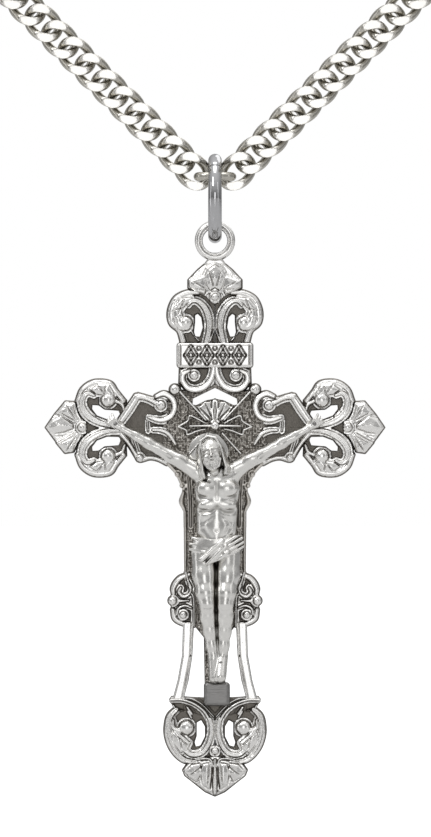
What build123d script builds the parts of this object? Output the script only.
from build123d import *

import os
from math import cos, pi, radians, sin, sqrt

# A crucifix pendant that hangs upright from a taut neck chain of curb links.
# Millimetres. +Z is up, X runs across, and the front faces -Y. The origin is midway
# between the rod holes of the two tags in which the chain's ends are held.

# ---- driving dimensions: chain ----
LINK_PITCH = 2.19
LINK_WIRE = 0.80
LINK_HALF_LENGTH = 1.62       # of the wire's centre line, along the chain
LINK_HALF_WIDTH = 1.17        # of the wire's centre line, across the chain
LINK_TWIST = 0.60             # how far a curb link's wire stands before and behind its plane
LINK_FLAT = 0.66              # half the chain's thickness between its ground flats
LINK_CORNERS = 8              # corners of the outline that the link's arcs round off
CORNER_REACH = 1.06           # those corners stand this many times further out
LINK_BEND = 0.80              # radius of those arcs
CHAIN_SLOPE = 44.7            # degrees below level of each arm
LINKS_PER_ARM = 12
ARM_FOOT_X = 2.06             # centre of the lowest link of each arm, from the middle
VERTEX_DROP = 0.50            # the vertex link lies level, this far below those two
VERTEX_HALF_LENGTH = 1.60
VERTEX_HALF_DEPTH = 1.45
VERTEX_BEND = 0.75            # radius of its corners
TAG_LINK_HOLE = 1.25          # radius of the hole that the last link goes through
TAG_ROD_HOLE = 1.00           # radius of the hole that a hanging rod goes through
TAG_HOLES_APART = 3.30
TAG_WIDTH = 4.00
TAG_THICK = 0.50
TAG_SIDE = 0.60               # link hole's centre, outward from the last link's centre
TAG_RISE = 1.93               # and upward from it

# ---- driving dimensions: jump ring and bail ----
RING_WIRE = 1.26
RING_RADIUS = 3.55            # of the wire's centre line
RING_REST_GAP = 0.02          # between the ring and the vertex link that carries it
BAIL_OUTER = 1.89             # radius
BAIL_HOLE = 1.15              # radius
BAIL_REST_GAP = 0.13          # between the ring's wire and the bail's hole wall
BAIL_UP = 17.53               # bail's centre above the cross's centre
BAIL_THICK = 1.30

# ---- driving dimensions: cross, measured from its centre ----
BACK = 0.95                   # Y of the cross's flat back
GROUND_FRONT = -0.35          # Y of the ground that the ornament stands on
RELIEF_FRONT = -0.85          # Y of the front of scrolls, leaves and frames
BEAD_FRONT = -1.05            # Y of the front of beads
ARM_FRONT = -2.05             # Y of the front of the figure's arms
BAND = 0.85                   # width of an outer scroll's band
INNER_BAND = 0.75             # width of an inner scroll's band
BAIL_NECK = (1.80, 1.30)      # width and height of the neck under the bail
BAIL_NECK_UP = 15.75          # height of the neck's middle
TABLET_WIDTH = 7.16
TABLET_HEIGHT = 2.36
TABLET_UP = 6.80
SHAFT_HALF_WIDTH = 2.90
SHAFT_TOP = -3.70
SHAFT_FOOT = -14.10
RAIL_WIDTH = 1.05
RAIL_TOP = -18.10
RAIL_FOOT = -25.30
RAIL_SPREAD = (1.95, 3.95)    # inner edge at the top and outer edge at the foot
SPINE_WIDTH = 1.50
WEB = (3.60, 4.00)            # width and height of the ground between the middle scrolls
WEB_UP = -16.10

# ---- driving dimensions: head, nails and foot block ----
HEAD = (-0.55, -2.15, -2.20)  # centre of the head with its halo
HEAD_RADIUS = 1.90
HAND_NAIL = (9.25, 0.42, 0.22)    # place across, place up and radius
FOOT_NAIL = (0.30, -22.0, 0.28)
NAIL_STANDS = 0.35            # how far a nail's head stands out
FOOT_NAIL_SEAT = -2.10        # Y of the front of the feet under their nail
BLOCK = (0.17, -24.5, 2.6, 1.6)   # place across, place up, width and height
BLOCK_FRONT = -1.60

# ---- places that follow ----
slope = radians(CHAIN_SLOPE)
step_x = LINK_PITCH * cos(slope)
step_z = LINK_PITCH * sin(slope)
wire_r = LINK_WIRE / 2
last_link = LINKS_PER_ARM - 1
tag_x = ARM_FOOT_X + last_link * step_x + TAG_SIDE
foot_z = -(last_link * step_z + TAG_RISE + TAG_HOLES_APART)
vertex_z = foot_z - VERTEX_DROP
ring_reach = RING_RADIUS - RING_WIRE / 2 - wire_r - RING_REST_GAP
ring_z = vertex_z - sqrt(ring_reach ** 2 - VERTEX_HALF_DEPTH ** 2)
pivot_z = ring_z - RING_RADIUS
bail_z = pivot_z - (BAIL_HOLE - RING_WIRE / 2 - BAIL_REST_GAP)
cross_z = bail_z - BAIL_UP

os.makedirs("parts", exist_ok=True)


def save(shape, name):
    export_step(shape, os.path.join("parts", name + ".step"))


# ---- chain ----

def wire_loop(corners, corner_radius):
    """A closed loop of round wire: straight runs joined by tangent arcs."""
    path = FilletPolyline(*corners, radius=corner_radius, close=True)
    runs = [sweep(Plane(origin=run @ 0, z_dir=run % 0) * Circle(wire_r), path=run)
            for run in path.edges()]
    return runs[0].fuse(*runs[1:])


def curb_link(hand):
    """One curb link about the origin: length along X, flats facing -Y and +Y."""
    corners = []
    for k in range(LINK_CORNERS):
        t = (2 * k + 1) * pi / LINK_CORNERS
        corners.append((
            CORNER_REACH * LINK_HALF_LENGTH * cos(t),
            hand * LINK_TWIST * sin(2 * t),
            CORNER_REACH * LINK_HALF_WIDTH * sin(t),
        ))
    between_flats = Box(3 * LINK_PITCH, 2 * LINK_FLAT, 3 * LINK_PITCH)
    return wire_loop(corners, LINK_BEND) & between_flats


def vertex_link():
    """The level link at the lowest point, which the jump ring hangs on."""
    x, y = VERTEX_HALF_LENGTH, VERTEX_HALF_DEPTH
    return wire_loop([(x, -y, 0), (x, y, 0), (-x, y, 0), (-x, -y, 0)], VERTEX_BEND)


def end_tag():
    """A flat end tag seen edge-on: link hole below, rod hole above, at the origin."""
    middle = Pos(0, -TAG_HOLES_APART / 2)
    face = middle * Rot(0, 0, 90) * SlotCenterToCenter(TAG_HOLES_APART, TAG_WIDTH)
    face = face - Circle(TAG_ROD_HOLE) - Pos(0, -TAG_HOLES_APART) * Circle(TAG_LINK_HOLE)
    return extrude(Plane.YZ * face, amount=TAG_THICK / 2, both=True)


def make_chain():
    for side, name in ((-1, "left"), (1, "right")):
        link = curb_link(-side)
        for k in range(LINKS_PER_ARM):
            place = Pos(side * (ARM_FOOT_X + k * step_x), 0, foot_z + k * step_z)
            save(place * Rot(0, -side * CHAIN_SLOPE, 0) * link,
                 f"chain_link_{name}_{k + 1:02d}")
        save(Pos(side * tag_x, 0, 0) * end_tag(), f"end_tag_{name}")
    save(Pos(0, 0, vertex_z) * vertex_link(), "chain_link_vertex")


def make_jump_ring():
    ring = Pos(0, 0, ring_z) * Rot(0, 90, 0) * Torus(RING_RADIUS, RING_WIRE / 2)
    save(ring, "jump_ring")


# ---- cross: flat regions of one openwork casting, which meet edge to edge ----

taken = []                    # the regions made so far, so that the next one stops at them


def claim(region):
    """The part of a region that no earlier one covers."""
    for other in taken:
        region = region - other
    taken.append(region)
    return region


def raise_region(region, front, back=BACK):
    """A region of the cross between its back and a front plane."""
    seat = Plane((0, back, cross_z), x_dir=(1, 0, 0), z_dir=(0, -1, 0))
    return extrude(seat * region, amount=back - front)


def mirrored(region):
    return mirror(region, about=Plane.YZ)


def keep(region, name, front):
    save(raise_region(claim(region), front), name)


def keep_pair(region, name, front):
    keep(mirrored(region), name + "_left", front)
    keep(region, name + "_right", front)


def disc(x, z, radius):
    return Pos(x, z) * Circle(radius)


def band(*points, width=BAND):
    return trace(Spline(*points), width)


def make_bail():
    eye = disc(0, BAIL_UP, BAIL_OUTER)
    neck = Pos(0, BAIL_NECK_UP) * Rectangle(*BAIL_NECK)
    taken.append(disc(0, BAIL_UP, BAIL_HOLE))
    region = claim(eye + neck)
    save(raise_region(region, -BAIL_THICK / 2, BAIL_THICK / 2), "bail_loop")


def make_leaves():
    top = [(0, 15.1), (1.0, 14.6), (2.45, 13.6), (1.5, 12.9), (0.55, 12.6)]
    outline = Polyline(*top, (0, 12.8), *[(-x, z) for x, z in reversed(top[1:])], close=True)
    keep(make_face(outline), "top_leaf", RELIEF_FRONT)
    arm = Polyline((15.9, 0), (15.0, 1.1), (13.9, 2.4), (13.0, 0.9), (12.1, 0.5),
                   (12.1, -0.5), (13.0, -0.9), (13.9, -2.45), (15.0, -1.1), close=True)
    keep_pair(make_face(arm), "arm_leaf", RELIEF_FRONT)
    foot = [(0, -34.3), (1.2, -33.5), (2.8, -32.2), (1.9, -31.3), (0.7, -30.9)]
    outline = Polyline(*foot, *[(-x, z) for x, z in reversed(foot[1:])], close=True)
    keep(make_face(outline), "foot_leaf", RELIEF_FRONT)


def make_top_scrolls():
    outer = band((1.7, 13.2), (3.3, 12.5), (4.0, 10.8), (3.4, 9.0), (2.9, 7.9))
    inner = band((0.6, 7.9), (0.75, 10.4), (1.6, 12.1), (2.5, 11.7), width=INNER_BAND)
    leaf = disc(2.85, 9.75, 0.75)
    keep_pair(outer + inner + leaf, "top_scroll", RELIEF_FRONT)


def make_tablet():
    tablet = Pos(0, TABLET_UP) * RectangleRounded(TABLET_WIDTH, TABLET_HEIGHT, 0.45)
    keep(tablet, "title_tablet", BEAD_FRONT)


def make_under_tablet():
    eye = disc(1.95, 4.90, 0.80)
    curl = band((3.5, 5.7), (3.35, 4.3), (2.2, 3.55), (1.0, 4.1), (0.45, 5.7), width=INNER_BAND)
    keep_pair(eye + curl + disc(3.75, 3.65, 0.55), "neck_volute", RELIEF_FRONT)


def make_centre():
    edge = [(0.6, 3.4), (2.2, 2.6), (3.4, 3.2), (4.75, 2.6), (4.75, -2.6), (3.9, SHAFT_TOP)]
    outline = Polyline(*edge, *[(-x, z) for x, z in reversed(edge)], close=True)
    opening = Polyline((0, 3.2), (2.2, 1.9), (1.8, 1.3), (0, 2.1), (-1.8, 1.3), (-2.2, 1.9),
                       close=True)
    keep(make_face(outline) - make_face(opening), "centre_panel", GROUND_FRONT)


def make_panel_ornament():
    """Bead, side petals, fan leaf and two rays, raised from the centre panel."""
    flower = disc(0, 0.15, 0.40) + Pos(0, 1.0) * Ellipse(0.95, 0.6)
    petals = [Pos(side * 1.9, 0.15) * Ellipse(1.5, 0.42) for side in (-1, 1)]
    rays = [trace(Line((side * 1.5, 0.9), (side * 3.2, 2.6)), 0.3) for side in (-1, 1)]
    region = flower + petals + rays
    save(raise_region(region, RELIEF_FRONT, GROUND_FRONT), "panel_ornament")


def make_side_frames():
    outline = Polyline((4.75, 2.6), (5.6, 3.2), (7.3, 3.3), (8.4, 1.1), (8.4, -0.9),
                       (7.2, -3.1), (5.4, -2.6), (4.75, -2.6), close=True)
    keep_pair(make_face(outline), "arm_frame", RELIEF_FRONT)


def make_arm_scrolls():
    curl = band((8.2, 0.35), (10.4, 0.5), (12.3, 1.7), (12.4, 3.3), (11.0, 4.0), (9.9, 3.3))
    upper = curl + disc(9.95, 2.7, 0.8)
    lower = mirror(upper, about=Plane.XZ)
    keep_pair(upper + lower, "arm_scrolls", RELIEF_FRONT)


def make_shaft():
    edge = [(3.9, SHAFT_TOP), (3.1, -5.6), (SHAFT_HALF_WIDTH, -7.6),
            (SHAFT_HALF_WIDTH, SHAFT_FOOT)]
    outline = Polyline(*edge, *[(-x, z) for x, z in reversed(edge)], close=True)
    keep(make_face(outline), "shaft_ground", GROUND_FRONT)


def make_mid_scrolls():
    scroll = (disc(3.05, -15.1, 0.93) + disc(3.0, -17.15, 0.9) + disc(3.95, -16.15, 0.5)
              + Pos(2.5, -16.1) * Rectangle(0.8, 4.0))
    keep_pair(scroll, "mid_scroll", RELIEF_FRONT)


def make_rails():
    inner, outer = RAIL_SPREAD
    rail = make_face(Polyline((inner, RAIL_TOP), (inner + RAIL_WIDTH, RAIL_TOP),
                              (outer, RAIL_FOOT), (outer - RAIL_WIDTH, RAIL_FOOT), close=True))
    keep(rail + mirrored(rail), "flared_rails", RELIEF_FRONT)
    middle = Pos(0, (SHAFT_FOOT + RAIL_FOOT) / 2)
    spine = middle * Rectangle(SPINE_WIDTH, SHAFT_FOOT - RAIL_FOOT)
    web = Pos(0, WEB_UP) * Rectangle(*WEB)
    keep(spine + web, "lower_spine", GROUND_FRONT)


def make_base_moulding():
    half = [(0, -25.3), (4.1, -25.3), (4.1, -25.8), (2.6, -26.3), (0, -27.1)]
    outline = Polyline(*half, *[(-x, z) for x, z in reversed(half[1:-1])], close=True)
    keep(make_face(outline), "base_moulding", RELIEF_FRONT)


def make_foot_scrolls():
    outer = band((3.0, -26.0), (4.3, -27.6), (4.35, -29.6), (3.0, -30.8), (1.7, -31.3))
    inner = band((1.6, -26.4), (0.55, -27.9), (0.6, -29.6), (1.7, -31.2), width=INNER_BAND)
    leaf = disc(2.9, -28.1, 0.75)
    keep_pair(outer + inner + leaf, "foot_scroll", RELIEF_FRONT)


# ---- figure and what holds it: in front of the cross ----

def in_front_of(y, shape):
    """What of a shape stands in front of a plane."""
    return shape & (Pos(0, y - 5, cross_z) * Box(60, 10, 90))


def lofted(x, *stations):
    """A loft of ellipses, each (height, half width, half depth) on the ground's plane."""
    rings = [Plane.XY.offset(z) * Ellipse(wide, deep) for z, wide, deep in stations]
    return in_front_of(GROUND_FRONT, Pos(x, GROUND_FRONT, cross_z) * loft(rings))


def make_figure():
    torso = lofted(0.1, (-3.1, 2.35, 1.7), (-6.2, 2.1, 2.1), (-9.5, 1.9, 1.8))
    cloth = lofted(0.1, (-9.5, 2.15, 1.95), (-11.2, 2.7, 2.35), (-12.9, 2.4, 2.1))
    legs = lofted(0.0, (-12.9, 2.2, 2.0), (-16.5, 1.65, 2.9), (-21.4, 1.1, 1.5),
                  (-23.7, 1.0, 1.9))
    x, y, z = HEAD
    ball = Pos(x, y, z + cross_z) * Sphere(HEAD_RADIUS)
    head = in_front_of(GROUND_FRONT, ball) - torso
    save(torso, "figure_torso")
    save(head, "figure_head")
    save(cloth, "loincloth")
    save(legs, "figure_legs")
    arm = make_face(Polyline((2.55, -2.45), (5.5, -1.1), (8.6, 0.75), (9.3, 1.25), (9.9, 0.6),
                             (9.4, -0.2), (5.8, -2.3), (2.55, -4.0), close=True))
    save(raise_region(mirrored(arm) + arm, ARM_FRONT, RELIEF_FRONT), "figure_arms")


def make_nails():
    pin = disc(*HAND_NAIL)
    hand_nails = raise_region(pin + mirrored(pin), ARM_FRONT - NAIL_STANDS, ARM_FRONT)
    foot_nail = raise_region(disc(*FOOT_NAIL), FOOT_NAIL_SEAT - NAIL_STANDS, FOOT_NAIL_SEAT)
    save(hand_nails + foot_nail, "nails")


def make_foot_block():
    x, z, width, height = BLOCK
    block = Box(width, GROUND_FRONT - BLOCK_FRONT, height)
    save(Pos(x, (GROUND_FRONT + BLOCK_FRONT) / 2, cross_z + z) * block, "foot_block")


make_chain()
make_jump_ring()
make_bail()
make_leaves()
make_tablet()
make_top_scrolls()
make_under_tablet()
make_centre()
make_panel_ornament()
make_side_frames()
make_arm_scrolls()
make_shaft()
make_mid_scrolls()
make_rails()
make_base_moulding()
make_foot_scrolls()
make_figure()
make_nails()
make_foot_block()
